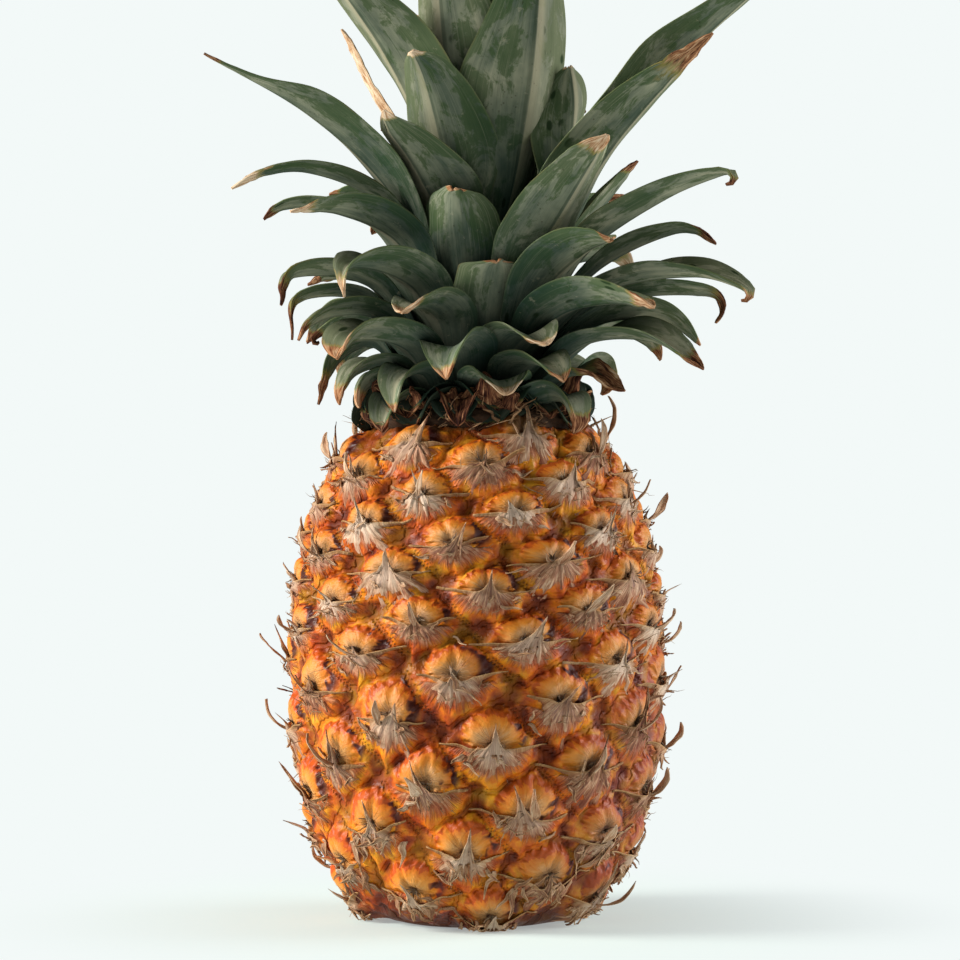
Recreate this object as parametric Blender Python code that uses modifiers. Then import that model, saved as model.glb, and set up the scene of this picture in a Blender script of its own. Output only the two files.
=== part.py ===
"""A ripe pineapple standing on its cut base: the fruit, the short stem of its crown and the crown's leaves.

Metres, +Z up, the front towards -Y. The origin is the middle of the flat cut base, and +Z runs up the
fruit's own axis.
"""

import math

import bmesh
import bpy
from mathutils import Vector

MM = 0.001

# Fruit
FRUIT_HEIGHT = 0.158
FRUIT_RADIUS = 0.0575
FRUIT_MIDDLE = 0.079
FRUIT_CURVE_HEIGHT = 0.0915
FRUIT_CURVE_POWER = 2.5
BASE_RADIUS = 0.028
TOP_RADIUS = 0.024
END_ROUNDING = 0.0015
FRUIT_SIDES = 64
FRUIT_RINGS = 30

# Eyes: fruitlets in one spiral from the base up, each turned by nearly the golden angle from the last
EYE_COUNT = 114
EYE_TURN = math.radians(137.6)
EYE_FIRST_TURN = math.radians(1.5)
EYE_FIRST_Z = 0.0035
EYE_LOW_RISE = 0.00158
EYE_HIGH_RISE = 0.00112
EYE_FADE_START = 0.003
EYE_FADE_END = 0.012
EYE_HALF_SPAN = 0.0118
EYE_RELIEF = 0.0028

# Crown stem
TOUCH_GAP = 0.0004
STEM_FOOT_RADIUS = 0.021
STEM_TIP_RADIUS = 0.0045
STEM_LENGTH = 0.088
STEM_SIDES = 20
CROWN_Z = FRUIT_HEIGHT + TOUCH_GAP

# Leaves
LEAF_SECTIONS = 7
LEAF_ACROSS = 4
LEAF_THICKNESS = 0.0008
LEAF_FOOT_WIDTH = 0.5
LEAF_WIDEST_AT = 0.45
LEAF_TAPER_FROM = 0.35
LEAF_TIP_WIDTH = 0.0018
LEAF_CHANNEL = 0.62
LEAF_CLASP_UNTIL = 0.25
LEAF_FREE_FROM = 0.7
LEAF_MOST_BEND = 1.2

# The leaves that show from the front, lowest first, in millimetres and degrees.
# turn: the way the leaf points, 0 to the front and 90 to +X. seat: the height of its foot on the stem.
# middle, knee, tip: points of its midline as (out from the axis, up from the fruit's top).
# width: at its widest. end: its width at the tip, as a share of that.
FRONT_LEAVES = [
    # turn seat  middle    knee      tip       width end
    (-8, 1.0, (28, 5), (34, 4), (40, -3), 17, 0.3),
    (42, 1.0, (31, 4), (40, 4), (46, -5), 18, 0.5),
    (-48, 1.5, (29, 5), (35, 3), (39, -5), 14, 0.4),
    (-68, 2.0, (30, 11), (36, 9), (40, 3), 14, 0.4),
    (52, 3.0, (35, 12), (47, 12), (57, 6), 15, 0.4),
    (10, 3.5, (31, 9), (41, 10), (50, 6), 18, 0.4),
    (-35, 4.0, (29, 13), (41, 10), (44, 1), 14, 0.2),
    (-60, 5.0, (30, 15), (43, 13), (50, 4), 14, 0.3),
    (28, 5.5, (31, 15), (44, 15), (56, 10), 18, 0.3),
    (60, 6.5, (38, 22), (62, 23), (80, 14), 18, 0.3),
    (-86, 7.0, (32, 22), (43, 18), (50, 4), 13, 0.3),
    (-10, 8.0, (30, 19), (43, 20), (54, 12), 18, 0.3),
    (-44, 9.0, (32, 21), (53, 23), (61, 17), 22, 0.5),
    (-88, 10.5, (32, 27), (43, 28), (53, 24), 14, 0.3),
    (72, 11.0, (38, 28), (60, 30), (73, 22), 16, 0.3),
    (43, 14.4, (35, 30), (58, 34), (78, 32), 19, 0.35),
    (-63, 13.0, (34, 30), (50, 31), (63, 25), 15, 0.2),
    (24, 11.5, (28, 21), (40, 24), (52, 19), 17, 0.3),
    (-78, 15.2, (36, 36), (57, 36), (59, 24), 13, 0.05),
    (82, 15.5, (40, 35), (73, 38), (80, 30), 13, 0.3),
    (-27, 16.0, (25, 29), (37, 33), (50, 31), 20, 0.4),
    (-64, 17.0, (36, 40), (62, 43), (67, 34), 15, 0.2),
    (67, 18.0, (41, 38), (73, 43), (94, 37), 18, 0.3),
    (40, 20.0, (33, 39), (50, 49), (64, 53), 22, 0.6),
    (-43, 22.0, (29, 40), (56, 45), (61, 36), 23, 0.1),
    (-94, 22.0, (31, 40), (41, 44), (51, 44), 18, 0.8),
    (74, 23.0, (38, 45), (64, 57), (78, 55), 13, 0.3),
    (12, 23.5, (24, 33), (29, 41), (33, 48), 20, 0.9),
    (-54, 26.5, (29, 53), (52, 62), (70, 62), 19, 0.3),
    (60, 27.0, (38, 50), (68, 67), (93, 75), 21, 0.25),
    (-88, 28.5, (31, 59), (52, 66), (68, 65), 15, 0.35),
    (-70, 31.5, (29, 64), (56, 76), (81, 72), 15, 0.3),
    (36, 32.5, (28, 47), (45, 63), (67, 84), 22, 0.45),
    (-14, 35.5, (21, 48), (26, 60), (29, 71), 24, 0.8),
    (54, 36.0, (34, 60), (54, 85), (88, 115), 23, 0.2),
    (-63, 40.5, (30, 70), (58, 93), (93, 110), 22, 0.12),
    (88, 36.5, (30, 54), (42, 69), (51, 81), 12, 0.4),
    (-44, 43.5, (17, 62), (29, 79), (44, 92), 28, 0.3),
    (64, 46.0, (34, 72), (71, 110), (108, 140), 27, 0.2),
    (-102, 48.5, (19, 78), (34, 103), (44, 124), 9, 0.5),
    (-30, 49.5, (18, 74), (28, 97), (38, 113), 28, 0.3),
    (80, 51.0, (27, 74), (31, 96), (30, 111), 19, 0.6),
    (-66, 53.5, (18, 87), (31, 113), (54, 143), 28, 0.3),
    (-118, 59.0, (14, 98), (32, 126), (60, 152), 15, 0.2),
    (46, 58.5, (18, 80), (25, 113), (29, 158), 29, 0.2),
    (-38, 65.0, (12, 92), (17, 118), (23, 165), 25, 0.2),
]

# The leaves at the back, lowest first, placed by a rule: each turned by BACK_TURN within the back sector
BACK_COUNT = 12
BACK_FROM = 130.0
BACK_SPAN = 100.0
BACK_TURN = 0.382


def smooth(edge_low, edge_high, value):
    """A smooth step from 0 to 1 between two edges."""
    share = min(max((value - edge_low) / (edge_high - edge_low), 0.0), 1.0)
    return share * share * (3.0 - 2.0 * share)


def mix(low, high, share):
    return low + (high - low) * share


# ---- scene ---------------------------------------------------------------------------------------------

for old in list(bpy.data.objects):
    bpy.data.objects.remove(old)

pineapple = bpy.data.collections.new("pineapple")
bpy.context.scene.collection.children.link(pineapple)


def make_material(name, color, roughness):
    material = bpy.data.materials.new(name)
    material.use_nodes = True
    shader = material.node_tree.nodes["Principled BSDF"]
    shader.inputs["Base Color"].default_value = (*color, 1.0)
    shader.inputs["Roughness"].default_value = roughness
    shader.inputs["Metallic"].default_value = 0.0
    return material


def make_object(name, bm, material):
    """Put a finished bmesh into the pineapple collection, shaded smooth."""
    mesh = bpy.data.meshes.new(name)
    bm.to_mesh(mesh)
    bm.free()
    mesh.shade_smooth()
    mesh.materials.append(material)
    obj = bpy.data.objects.new(name, mesh)
    pineapple.objects.link(obj)
    return obj


# ---- fruit ---------------------------------------------------------------------------------------------


def fruit_radius(z):
    """The fruit's radius at a height, without its eyes: a blunt barrel, cut flat at both ends."""
    share = abs(z - FRUIT_MIDDLE) / FRUIT_CURVE_HEIGHT
    return FRUIT_RADIUS * math.sqrt(1.0 - share**FRUIT_CURVE_POWER)


def eye_places():
    """The turn and height of every eye, from the base up."""
    places = []
    turn = EYE_FIRST_TURN
    z = EYE_FIRST_Z
    for _ in range(EYE_COUNT):
        places.append((turn, z))
        turn += EYE_TURN
        z += mix(EYE_LOW_RISE, EYE_HIGH_RISE, smooth(0.47, 0.60, z / FRUIT_HEIGHT))
    return places


EYES = eye_places()


def eye_relief(point):
    """How far the skin stands out at a point: a low dome over each eye, a groove between them."""
    turn = math.atan2(point.y, point.x)
    radius = math.hypot(point.x, point.y)
    nearest = 2.0
    for eye_turn, eye_z in EYES:
        around = math.remainder(turn - eye_turn, 2.0 * math.pi) * radius
        nearest = min(nearest, math.hypot(around, point.z - eye_z) / EYE_HALF_SPAN)
    fade = smooth(EYE_FADE_START, EYE_FADE_END, point.z)
    fade *= smooth(EYE_FADE_START, EYE_FADE_END, FRUIT_HEIGHT - point.z)
    return EYE_RELIEF * fade * (1.0 - nearest**2)


def make_fruit():
    """The fruit: a turned profile whose skin is pushed out over each eye."""
    profile = [Vector((0.0, 0.0, FRUIT_HEIGHT)), Vector((TOP_RADIUS, 0.0, FRUIT_HEIGHT))]
    for ring in range(FRUIT_RINGS + 1):
        swing = math.pi * ring / FRUIT_RINGS
        z = FRUIT_MIDDLE + (FRUIT_MIDDLE - END_ROUNDING) * math.cos(swing)
        profile.append(Vector((fruit_radius(z), 0.0, z)))
    profile.append(Vector((BASE_RADIUS, 0.0, 0.0)))
    profile.append(Vector((0.0, 0.0, 0.0)))

    bm = bmesh.new()
    line = [bm.verts.new(point) for point in profile]
    for upper, lower in zip(line, line[1:]):
        bm.edges.new((upper, lower))
    bmesh.ops.spin(
        bm,
        geom=bm.verts[:] + bm.edges[:],
        cent=(0.0, 0.0, 0.0),
        axis=(0.0, 0.0, 1.0),
        angle=2.0 * math.pi,
        steps=FRUIT_SIDES,
        use_merge=True,
    )
    bmesh.ops.remove_doubles(bm, verts=bm.verts[:], dist=0.00001)
    for vert in bm.verts:
        radius = math.hypot(vert.co.x, vert.co.y)
        if radius > BASE_RADIUS + 0.0001:
            stretch = 1.0 + eye_relief(vert.co) / radius
            vert.co.x *= stretch
            vert.co.y *= stretch
    bmesh.ops.recalc_face_normals(bm, faces=bm.faces[:])
    return make_object("fruit_body", bm, make_material("rind", (0.62, 0.27, 0.07), 0.5))


# ---- crown ---------------------------------------------------------------------------------------------


def stem_radius(up):
    return mix(STEM_FOOT_RADIUS, STEM_TIP_RADIUS, up / STEM_LENGTH)


def make_stem():
    """The crown's tapered stem, which the leaves clasp."""
    bm = bmesh.new()
    bmesh.ops.create_cone(
        bm,
        cap_ends=True,
        segments=STEM_SIDES,
        radius1=STEM_FOOT_RADIUS,
        radius2=STEM_TIP_RADIUS,
        depth=STEM_LENGTH,
    )
    bmesh.ops.translate(bm, verts=bm.verts[:], vec=(0.0, 0.0, CROWN_Z + STEM_LENGTH / 2.0))
    return make_object("crown_stem", bm, make_material("pale_stem", (0.55, 0.58, 0.30), 0.6))


def back_leaf(index):
    """A row like FRONT_LEAVES for one of the leaves at the back."""
    share = index / (BACK_COUNT - 1)
    turn = BACK_FROM + BACK_SPAN * ((index * BACK_TURN) % 1.0)
    seat = mix(1.5, 61.0, share)
    tip = (mix(58, 30, share**2), mix(10, 150, share**1.2))
    middle = (mix(32, 14, share), seat + mix(10, 34, share))
    knee = (mix(48, 19, share), mix(16, 118, share**1.1))
    return (turn, seat, middle, knee, tip, mix(22, 24, share), 0.25)


def midline(foot, middle, knee, tip, along):
    """A smooth curve from the foot through the middle and the knee to the tip, at 0 to 1 of its way."""
    points = [Vector(foot), Vector(middle), Vector(knee), Vector(tip)]
    steps = [0.0]
    for near, far in zip(points, points[1:]):
        steps.append(steps[-1] + math.sqrt((far - near).length))
    place = along * steps[-1]
    span = 0
    while span < 2 and place > steps[span + 1]:
        span += 1
    before = points[span - 1] if span > 0 else points[0] * 2.0 - points[1]
    after = points[span + 2] if span < 2 else points[3] * 2.0 - points[2]
    start, end = points[span], points[span + 1]
    length = steps[span + 1] - steps[span]
    before_length = steps[span] - steps[span - 1] if span > 0 else length
    after_length = steps[span + 2] - steps[span + 1] if span < 2 else length
    slope_start = (end - before) / (length + before_length) * length
    slope_end = (after - start) / (length + after_length) * length
    share = (place - steps[span]) / length
    square, cube = share**2, share**3
    return (
        start * (2.0 * cube - 3.0 * square + 1.0)
        + slope_start * (cube - 2.0 * square + share)
        + end * (3.0 * square - 2.0 * cube)
        + slope_end * (cube - square)
    )


def leaf_half_width(width, end, along):
    """Half the leaf's width: a clasping foot, widest a third of the way up, then a long taper."""
    swell = mix(LEAF_FOOT_WIDTH, 1.0, smooth(0.0, LEAF_WIDEST_AT, along))
    taper = mix(1.0, end, smooth(LEAF_TAPER_FROM, 1.0, along) * along)
    return max(width * MM * swell * taper, LEAF_TIP_WIDTH) / 2.0


def make_leaf(name, row, material):
    """A leaf: a flat grid laid along its midline, then given its thickness.

    Near its foot it clasps the stem, as a strip of a cone about the axis. Further out it is a channel whose
    hollow side faces the crown's heart.
    """
    turn, seat, middle, knee, tip, width, end = row
    foot_out = stem_radius(seat * MM) + TOUCH_GAP + LEAF_THICKNESS / 2.0
    route = [(foot_out, seat * MM)] + [(out * MM, up * MM) for out, up in (middle, knee, tip)]
    turn = math.radians(turn)
    outward = Vector((math.sin(turn), -math.cos(turn), 0.0))
    sideways = Vector((math.cos(turn), math.sin(turn), 0.0))
    upward = Vector((0.0, 0.0, 1.0))

    bm = bmesh.new()
    bmesh.ops.create_grid(bm, x_segments=LEAF_ACROSS, y_segments=LEAF_SECTIONS, size=1.0)
    for vert in bm.verts:
        along = (vert.co.y + 1.0) / 2.0
        out, up = midline(*route, along)
        slope = midline(*route, min(along + 0.01, 1.0)) - midline(*route, max(along - 0.01, 0.0))
        slope.normalize()
        heartward = outward * -slope.y + upward * slope.x
        half = leaf_half_width(width, end, along)
        clasping = 1.0 - smooth(LEAF_CLASP_UNTIL, LEAF_FREE_FROM, along)
        channel = mix(LEAF_CHANNEL * width * MM, max(out, foot_out), clasping)
        channel = max(channel, half / LEAF_MOST_BEND)
        bend = vert.co.x * half / channel
        vert.co = outward * out + upward * (CROWN_Z + up)
        vert.co += sideways * channel * math.sin(bend)
        vert.co += heartward * channel * (1.0 - math.cos(bend))
    leaf = make_object(name, bm, material)
    thickness = leaf.modifiers.new("thickness", "SOLIDIFY")
    thickness.thickness = LEAF_THICKNESS
    thickness.offset = 0.0
    return leaf


def make_crown():
    """The stem and its leaves, numbered from the lowest."""
    make_stem()
    rows = FRONT_LEAVES + [back_leaf(index) for index in range(BACK_COUNT)]
    rows.sort(key=lambda row: row[1])
    for index, row in enumerate(rows):
        name = f"leaf_{index + 1:02d}"
        make_leaf(name, row, make_material(name, (0.16, 0.24, 0.14), 0.55))


make_fruit()
make_crown()
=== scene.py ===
"""The looks of a ripe pineapple: its rind of eyes and dried bracts, its crown of leaves, floor, light, camera.

Metres, +Z up, the front towards -Y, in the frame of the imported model.
"""

import math
import random

import bmesh
import bpy
import numpy as np
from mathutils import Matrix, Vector, noise


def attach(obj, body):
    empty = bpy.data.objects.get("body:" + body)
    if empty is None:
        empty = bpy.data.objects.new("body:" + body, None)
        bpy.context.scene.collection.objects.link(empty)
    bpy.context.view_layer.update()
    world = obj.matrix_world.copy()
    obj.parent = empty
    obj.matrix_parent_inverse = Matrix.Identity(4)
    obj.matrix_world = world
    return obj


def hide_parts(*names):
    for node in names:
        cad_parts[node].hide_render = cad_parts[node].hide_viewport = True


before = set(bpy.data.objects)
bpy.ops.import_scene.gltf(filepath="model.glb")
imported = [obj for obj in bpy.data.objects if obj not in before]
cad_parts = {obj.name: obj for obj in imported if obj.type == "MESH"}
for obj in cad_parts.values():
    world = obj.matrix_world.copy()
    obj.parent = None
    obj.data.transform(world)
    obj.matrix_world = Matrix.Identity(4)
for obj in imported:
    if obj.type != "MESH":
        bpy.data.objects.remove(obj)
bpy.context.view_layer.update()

MM = 0.001

# ---- sizes shared with the part ----

FRUIT_HEIGHT = 0.158
FRUIT_RADIUS = 0.0575
FRUIT_MIDDLE = 0.079
FRUIT_CURVE_HEIGHT = 0.0915
FRUIT_CURVE_POWER = 2.5
BASE_RADIUS = 0.028
TOP_RADIUS = 0.024
END_ROUNDING = 0.0015

EYE_COUNT = 114
EYE_TURN = math.radians(137.6)
EYE_FIRST_TURN = math.radians(1.5)
EYE_FIRST_Z = 0.0035
EYE_LOW_RISE = 0.00158
EYE_HIGH_RISE = 0.00112

TOUCH_GAP = 0.0004
STEM_FOOT_RADIUS = 0.021
STEM_TIP_RADIUS = 0.0045
STEM_LENGTH = 0.088
CROWN_Z = FRUIT_HEIGHT + TOUCH_GAP

LEAF_THICKNESS = 0.0008
LEAF_FOOT_WIDTH = 0.5
LEAF_WIDEST_AT = 0.45
LEAF_TAPER_FROM = 0.35
LEAF_TIP_WIDTH = 0.0018
LEAF_CHANNEL = 0.62
LEAF_CLASP_UNTIL = 0.25
LEAF_FREE_FROM = 0.7

# ---- sizes of the looks ----

RIND_STEPS = 400
RIND_RINGS = 226
RIND_SINK = 1.6
EYE_REACH = 19.0
EYE_SHELF_EDGE = -3.9
SIDE_REACH = 0.004

SHEET_THICKNESS = 0.00025
LOWEST = 0.0006
CURLED_TIP_SHARE = 0.45
LOW_EYES = 22

LEAF_EDGE_SHARE = 0.4
FOOT_RADIUS = 0.0335
FOOT_RISE = 0.0085
BLADE_SECTIONS = 52
BLADE_ACROSS = 12
CROWN_SPAN = 60.0

NECK_LEAVES = 26
NECK_HUSKS = 15
NECK_SCRAPS = 170
FILLING_LEAVES = 20
HEART_LEAVES = 6

# ---- studio ----

FLOOR_RADIUS = 6.0
LAMP_TARGET = (0.0, 0.0, 0.15)
CAMERA_PLACE = (0.0011, -1.10, 0.1386)
CAMERA_TARGET = (0.0011, 0.0, 0.1386)
CAMERA_LENS = 130.35

# The leaves in millimetres and degrees: turn, seat, middle, knee, tip, width and end as in the part, then
# dry: the share of the length that is dry; tone: of the dry part, 0 whitish, 0.5 orange-tan, 1 dark brown;
# curl: how far the tip turns, up or down; twist: how far the blade turns about its midline.
FRONT_LEAVES = [
    # turn seat  middle    knee      tip       width end   dry   tone  curl  twist
    (-8, 1.0, (28, 5), (34, 4), (40, -3), 17, 0.3, 0.60, 1.0, -10, 10),
    (42, 1.0, (31, 4), (40, 4), (46, -5), 18, 0.5, 0.18, 0.8, -30, -20),
    (-48, 1.5, (29, 5), (35, 3), (39, -5), 14, 0.4, 0.10, 0.9, 0, 0),
    (-68, 2.0, (30, 11), (36, 9), (40, 3), 14, 0.4, 0.20, 0.4, -20, 20),
    (52, 3.0, (35, 12), (47, 12), (57, 6), 12, 0.4, 0.45, 0.75, 30, 30),
    (10, 3.5, (31, 9), (41, 10), (50, 6), 18, 0.4, 0.14, 0.25, 0, 0),
    (-35, 4.0, (29, 13), (41, 10), (44, 1), 15, 0.2, 0.08, 0.6, 0, 10),
    (-60, 5.0, (30, 15), (43, 13), (50, 4), 14, 0.3, 0.16, 0.5, -20, 0),
    (28, 5.5, (31, 15), (44, 15), (56, 10), 18, 0.3, 0.10, 0.5, 0, 0),
    (60, 6.5, (38, 22), (62, 23), (80, 14), 18, 0.3, 0.12, 0.9, 0, 25),
    (-86, 7.0, (32, 22), (43, 18), (50, 4), 13, 0.3, 0.20, 0.8, 0, 0),
    (-10, 8.0, (30, 19), (43, 20), (54, 12), 19, 0.3, 0.1, 0.5, -30, 30),
    (-44, 9.0, (32, 21), (53, 23), (61, 17), 22, 0.5, 0.12, 0.55, 0, 20),
    (-88, 10.5, (32, 27), (43, 28), (53, 24), 14, 0.3, 0.15, 0.9, -200, 0),
    (72, 11.0, (38, 28), (60, 30), (73, 22), 16, 0.3, 0.03, 0.6, 0, -20),
    (43, 14.4, (35, 30), (58, 34), (78, 32), 22, 0.35, 0.12, 0.4, 0, -15),
    (-63, 13.0, (34, 30), (50, 31), (63, 25), 17, 0.2, 0.12, 0.9, -30, 10),
    (24, 11.5, (28, 21), (40, 24), (52, 19), 20, 0.3, 0.16, 0.2, 40, 0),
    (-78, 15.2, (36, 36), (57, 36), (59, 24), 14, 0.05, 0.24, 0.9, 0, 0),
    (82, 15.5, (40, 35), (73, 38), (80, 30), 13, 0.3, 0.20, 0.8, -60, 0),
    (-27, 16.0, (25, 29), (37, 33), (50, 31), 20, 0.4, 0.14, 0.25, 0, 15),
    (-64, 17.0, (36, 40), (62, 43), (67, 34), 16, 0.2, 0.16, 0.95, 0, 20),
    (67, 18.0, (41, 38), (73, 43), (94, 37), 18, 0.3, 0.05, 0.7, -170, 15),
    (40, 20.0, (33, 39), (50, 49), (64, 53), 22, 0.6, 0.04, 0.5, 0, -10),
    (-43, 22.0, (29, 40), (56, 45), (61, 36), 23, 0.1, 0.14, 0.25, -30, 0),
    (-94, 22.0, (31, 40), (41, 44), (51, 44), 18, 0.8, 0.03, 0.8, 0, 0),
    (74, 23.0, (38, 45), (64, 57), (78, 55), 13, 0.3, 0.12, 0.85, -20, 0),
    (12, 23.5, (24, 33), (29, 41), (33, 48), 22, 0.9, 0.02, 0.5, 20, 0),
    (-54, 26.5, (29, 53), (52, 62), (70, 62), 19, 0.3, 0.12, 0.2, 0, 10),
    (60, 27.0, (38, 50), (68, 67), (93, 75), 21, 0.25, 0.04, 0.9, -200, 0),
    (-88, 28.5, (31, 59), (52, 66), (68, 65), 15, 0.35, 0.08, 0.9, -30, 0),
    (-70, 31.5, (29, 64), (56, 76), (81, 72), 15, 0.3, 0.12, 0.1, -15, 0),
    (36, 32.5, (28, 47), (45, 63), (67, 84), 25, 0.45, 0.08, 0.3, 0, 0),
    (-14, 35.5, (21, 48), (26, 60), (29, 71), 24, 0.8, 0.02, 0.5, 0, 0),
    (54, 36.0, (34, 60), (54, 85), (88, 115), 29, 0.2, 0.15, 0.72, 0, -15),
    (-63, 40.5, (30, 70), (58, 93), (93, 110), 22, 0.12, 0.05, 0.7, 0, 0),
    (88, 36.5, (30, 54), (42, 69), (51, 81), 15, 0.4, 0.1, 0.8, 0, 0),
    (-44, 43.5, (17, 62), (29, 79), (44, 92), 28, 0.3, 0.05, 0.15, 40, 0),
    (64, 46.0, (34, 72), (71, 110), (108, 140), 27, 0.2, 0.04, 0.5, 0, -10),
    (-102, 48.5, (19, 78), (34, 103), (44, 124), 9, 0.5, 0.95, 0.16, 0, 30),
    (-30, 49.5, (18, 74), (28, 97), (38, 113), 30, 0.3, 0.04, 0.05, -20, 0),
    (80, 51.0, (27, 74), (31, 96), (30, 111), 24, 0.6, 0.01, 0.4, 0, -60),
    (-66, 53.5, (18, 87), (31, 113), (54, 143), 34, 0.3, 0.02, 0.5, 0, 30),
    (-118, 59.0, (14, 98), (32, 126), (60, 152), 18, 0.2, 0.03, 0.5, 0, 0),
    (46, 58.5, (18, 80), (25, 113), (29, 158), 40, 0.2, 0.03, 0.6, 0, -25),
    (-38, 65.0, (12, 92), (17, 118), (23, 165), 38, 0.2, 0.02, 0.3, 0, 18),
]

BACK_COUNT = 12
BACK_FROM = 130.0
BACK_SPAN = 100.0
BACK_TURN = 0.382


def smooth(edge_low, edge_high, value):
    """A smooth step from 0 to 1 between two edges."""
    share = min(max((value - edge_low) / (edge_high - edge_low), 0.0), 1.0)
    return share * share * (3.0 - 2.0 * share)


def soft_step(edge_low, edge_high, values):
    """The same step over an array."""
    share = np.clip((values - edge_low) / (edge_high - edge_low), 0.0, 1.0)
    return share * share * (3.0 - 2.0 * share)


def mix(low, high, share):
    return low + (high - low) * share


def wobble(first, second, third):
    """Smooth noise of about -1 to 1."""
    return noise.noise(Vector((first, second, third)))


def crumpled(seed, first, second=0.0):
    """The same noise over arrays."""
    return np.array([wobble(a, b, seed) for a, b in zip(*np.broadcast_arrays(first, second))])


def chances(kind, count):
    """A number, its own chances and its own draw between two limits, for each of a kind."""
    for index in range(count):
        chance = random.Random(f"{kind} {index}")
        yield index, chance, chance.uniform


# ---- node trees in short calls ----


def paint(*screen):
    """A colour from its 0 to 255 screen values, as the linear numbers that the nodes take."""
    shares = [value / 255.0 for value in screen]
    return (*(part / 12.92 if part <= 0.04045 else ((part + 0.055) / 1.055) ** 2.4 for part in shares), 1.0)


BACKDROP = paint(243, 249, 248)


class Amount:
    """A number that varies over a surface. Sums and products of amounts become Math nodes."""

    def __init__(self, net, socket):
        self.net, self.socket = net, socket

    def __add__(self, other):
        return self.net.math("ADD", self, other)

    def __sub__(self, other):
        return self.net.math("SUBTRACT", self, other)

    def __rsub__(self, other):
        return self.net.math("SUBTRACT", other, self)

    def __mul__(self, other):
        return self.net.math("MULTIPLY", self, other)

    def __rtruediv__(self, other):
        return self.net.math("DIVIDE", other, self)

    def size(self):
        return self.net.math("ABSOLUTE", self)

    def step(self, low, high, start=0.0, end=1.0):
        """A smooth change from start to end while the amount goes from low to high."""
        sockets = {"Value": self, "From Min": low, "From Max": high, "To Min": start, "To Max": end}
        return Amount(self.net, self.net.add("MapRange", sockets, interpolation_type="SMOOTHSTEP").outputs[0])

    def fall(self, low, high):
        return self.step(low, high, 1.0, 0.0)


class Net:
    """Short calls that add nodes to the tree of a material, a group or the world."""

    def __init__(self, tree):
        self.tree = tree

    def feed(self, socket, value):
        """Link a socket or an amount, or set a plain value."""
        value = getattr(value, "socket", value)
        if isinstance(value, bpy.types.NodeSocket):
            self.tree.links.new(value, socket)
        else:
            socket.default_value = value

    def add(self, kind, inputs=(), **settings):
        """A node with its settings, and with its inputs given in order or by name."""
        node = self.tree.nodes.new("ShaderNode" + kind)
        for name, value in settings.items():
            setattr(node, name, value)
        for key, value in inputs.items() if isinstance(inputs, dict) else enumerate(inputs):
            self.feed(node.inputs[key], value)
        return node

    def math(self, operation, *values):
        return Amount(self, self.add("Math", values, operation=operation).outputs[0])

    def split(self, vector):
        return [Amount(self, socket) for socket in self.add("SeparateXYZ", [vector]).outputs]

    def attribute(self, name):
        """The three parts of a vector attribute."""
        return self.split(self.add("Attribute", attribute_name=name).outputs["Vector"])

    def place(self):
        """Object coordinates."""
        return self.add("TexCoord").outputs["Object"]

    def join(self, *parts):
        return self.add("CombineXYZ", parts).outputs[0]

    def noise(self, vector, scale, detail=2.0, roughness=0.5, distortion=0.0):
        finish = {"Detail": detail, "Roughness": roughness, "Distortion": distortion}
        return Amount(self, self.add("TexNoise", {"Vector": vector, "Scale": scale, **finish}).outputs[0])

    def stretched(self, parts, times):
        """A vector of amounts, each times its own number."""
        return self.join(*(part * number for part, number in zip(parts, times)))

    def streaks(self, parts, times, *finish):
        """Noise over such a vector."""
        return self.noise(self.stretched(parts, times), 1.0, *finish)

    def cells(self, vector, scale):
        return Amount(self, self.add("TexVoronoi", {"Vector": vector, "Scale": scale}).outputs["Distance"])

    def ramp(self, amount, *stops):
        """A colour that goes through stops of (position, red, green, blue)."""
        node = self.add("ValToRGB", [amount])
        row = node.color_ramp.elements
        while len(row) < len(stops):
            row.new(0.5)
        for element, stop in zip(row, stops):
            element.position = stop[0]
        for element, stop in zip(row, stops):
            element.color = paint(*stop[1:])
        return node.outputs[0]

    def blend(self, share, first, second, kind="MIX"):
        return self.add("Mix", {0: share, 6: first, 7: second}, data_type="RGBA", blend_type=kind).outputs[2]

    def tint(self, colour, *coats):
        """A colour under coats of (share, red, green, blue) or (share, another colour), laid in this order."""
        for share, *coat in coats:
            colour = self.blend(share, colour, paint(*coat) if len(coat) == 3 else coat[0])
        return colour

    def group(self, group, *values):
        """The outputs of a shader group that is given its inputs in order."""
        return [Amount(self, socket) for socket in self.add("Group", values, node_tree=group).outputs]

    def mix_shaders(self, share, first, second, output):
        """Feed the named output node a mix of two shaders."""
        mixed = self.add("MixShader", (share, first.outputs[0], second.outputs[0])).outputs[0]
        self.feed(self.tree.nodes[output].inputs["Surface"], mixed)


class Finish(Net):
    """A material: its tree, its shader and the short calls that fill it."""

    def __init__(self, name, roughness, specular):
        self.material = bpy.data.materials.new(name)
        self.material.use_nodes = True
        super().__init__(self.material.node_tree)
        self.shader = self.tree.nodes["Principled BSDF"]
        self.shader.inputs["Roughness"].default_value = roughness
        self.shader.inputs["Specular IOR Level"].default_value = specular

    def done(self, colour, relief, strength, distance, **others):
        """Give the shader its colour, its bump and others by name."""
        bump = self.add("Bump", {"Strength": strength, "Distance": distance, "Height": relief})
        for name, value in {"Base Color": colour, "Normal": bump.outputs[0], **others}.items():
            self.feed(self.shader.inputs[name], value)
        return self.material


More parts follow.
